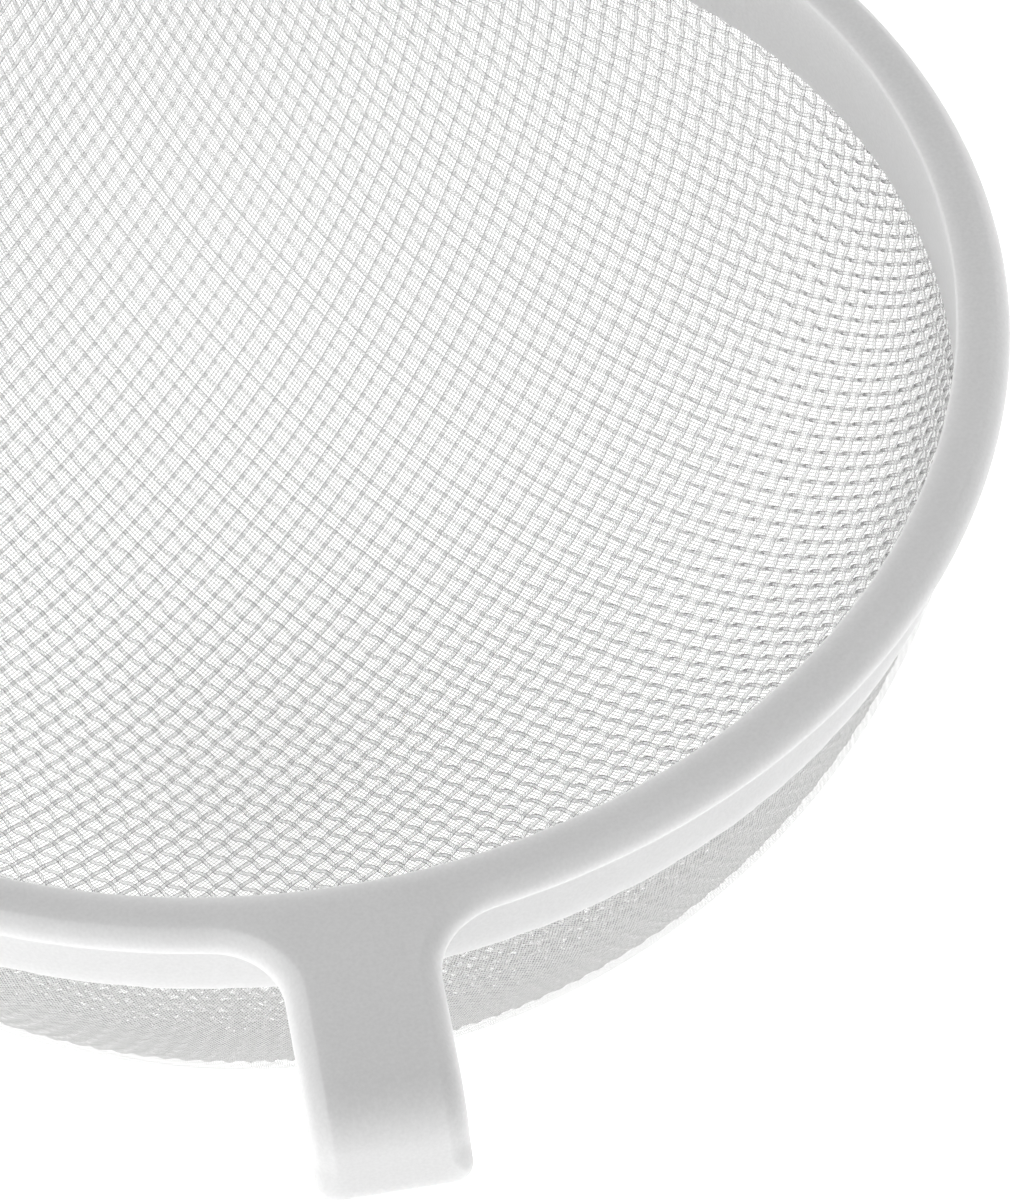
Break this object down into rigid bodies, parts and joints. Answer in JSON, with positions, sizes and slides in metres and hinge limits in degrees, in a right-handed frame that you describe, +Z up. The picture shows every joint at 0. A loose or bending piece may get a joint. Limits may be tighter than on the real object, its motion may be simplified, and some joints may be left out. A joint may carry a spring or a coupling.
{
  "type": "double sieve strainer",
  "caption": "Nested coarse and fine gauze bowl strainer; each plastic ring has a wall and bent lugs that hang on a container's rim, and the coarse sieve lifts out.",
  "frame": {"origin": "on the ring's axis, in the plane of the lugs' underside where they rest on a container's rim", "axes": "+Z up along the ring's axis, towards the open mouth; the lugs lie along Y"},
  "size_m": [0.215, 0.279, 0.1011],
  "materials": {
    "upper_plastic": "satin white polypropylene with a fine moulded grain",
    "lower_plastic": "satin white polypropylene with a fine moulded grain",
    "coarse_nylon": "plain-woven clear nylon monofilament",
    "fine_nylon": "plain-woven fine clear nylon monofilament"
  },
  "bodies": {
    "fine_sieve": {"lower_frame": "lower_plastic", "fine_gauze": "fine_nylon"},
    "coarse_sieve": {"upper_frame": "upper_plastic", "coarse_gauze": "coarse_nylon"}
  },
  "joints": [
    {"name": "coarse_sieve_lift", "type": "slide", "parent": "fine_sieve", "child": "coarse_sieve", "axis": [0, 0, 1], "range_m": [0, 0.12]}
  ]
}
